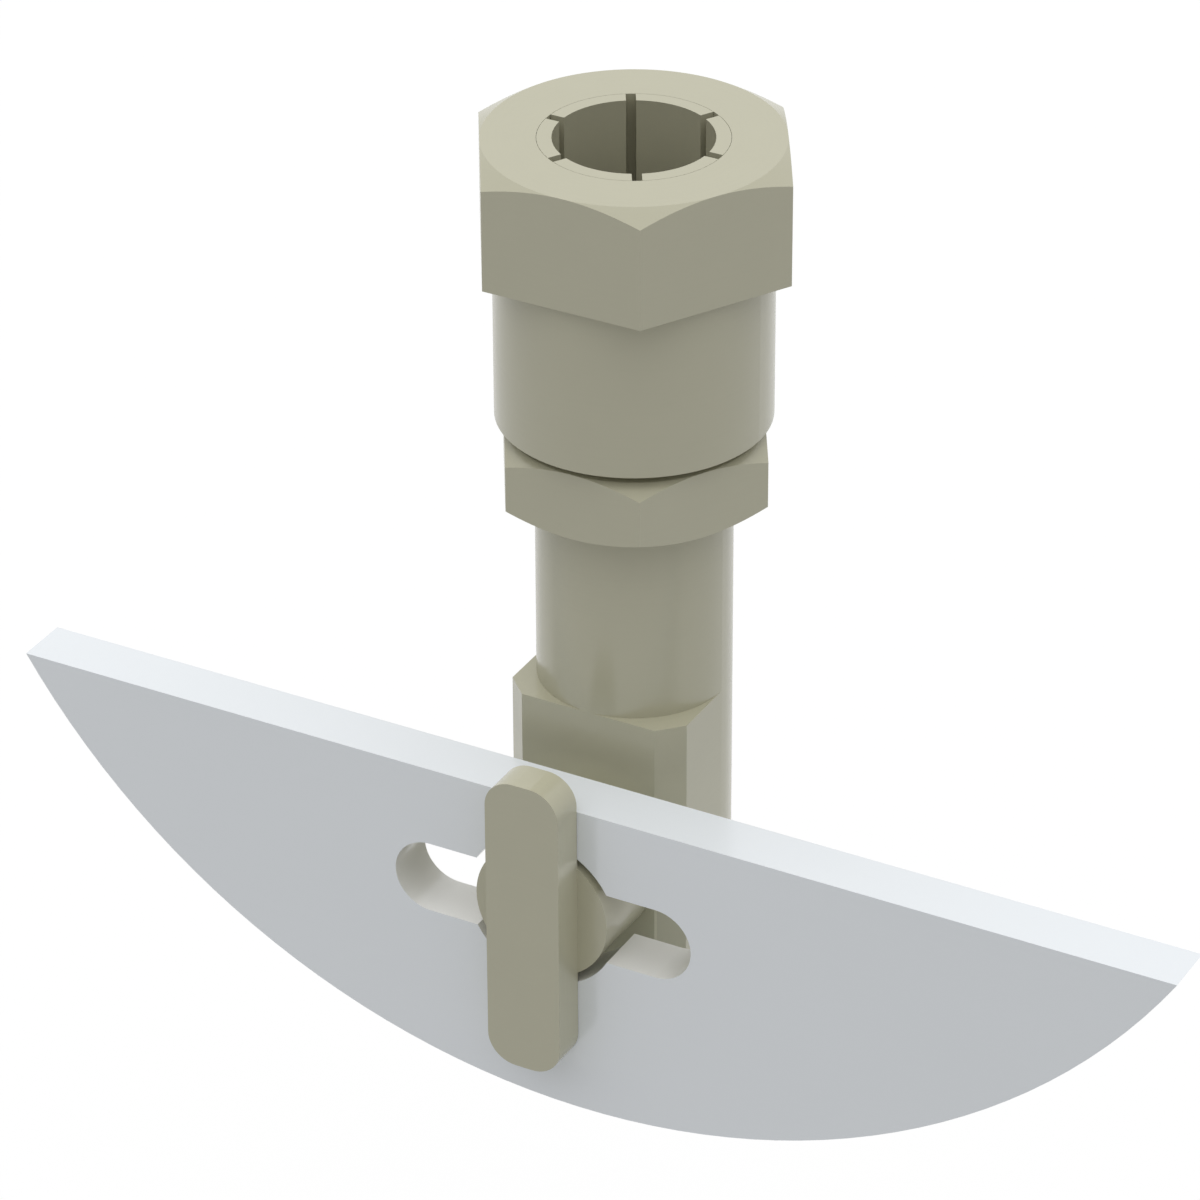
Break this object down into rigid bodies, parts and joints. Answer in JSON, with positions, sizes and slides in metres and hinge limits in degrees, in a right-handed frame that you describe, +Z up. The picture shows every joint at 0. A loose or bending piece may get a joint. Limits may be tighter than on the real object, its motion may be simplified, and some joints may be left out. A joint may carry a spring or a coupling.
{
  "type": "crescent blade stirrer",
  "caption": "Stirrer end for a round shaft: a split collet under a hexagonal nut, a rod with a flat-fronted foot, and a crescent blade that swings on a keyed hub.",
  "frame": {"origin": "centre of the shaft hole, on the face where the collet and its nut end flush", "axes": "+Z up along the shaft, +X along the blade's straight edge towards its longer end, -Y towards the blade and the bar of its key"},
  "size_m": [0.0651, 0.0195, 0.0505],
  "materials": {
    "beige_plastic": "machined PEEK, fine satin",
    "white_plastic": "cut PTFE sheet, waxy satin"
  },
  "bodies": {
    "body": {"adapter_body": "beige_plastic", "blade_key": "beige_plastic"},
    "collet": {"collet": "beige_plastic"},
    "nut": {"collet_nut": "beige_plastic"},
    "blade": {"blade": "white_plastic"}
  },
  "joints": [
    {"name": "collet_lift", "type": "slide", "parent": "body", "child": "collet", "axis": [0, 0, 1], "range_m": [0, 0.00151]},
    {"name": "nut_turn", "type": "hinge", "parent": "collet", "child": "nut", "pos_m": [0, 0, 0], "axis": [0, 0, 1], "range_deg": [0, 540]},
    {"name": "blade_swing", "type": "hinge", "parent": "body", "child": "blade", "pos_m": [0, -0.0085, -0.0391], "axis": [0, 1, 0], "range_deg": [-65, 260]}
  ],
  "couplings": [
    {"joint": "collet_lift", "follows": "nut_turn", "m_per_rad": 0.00015915}
  ]
}
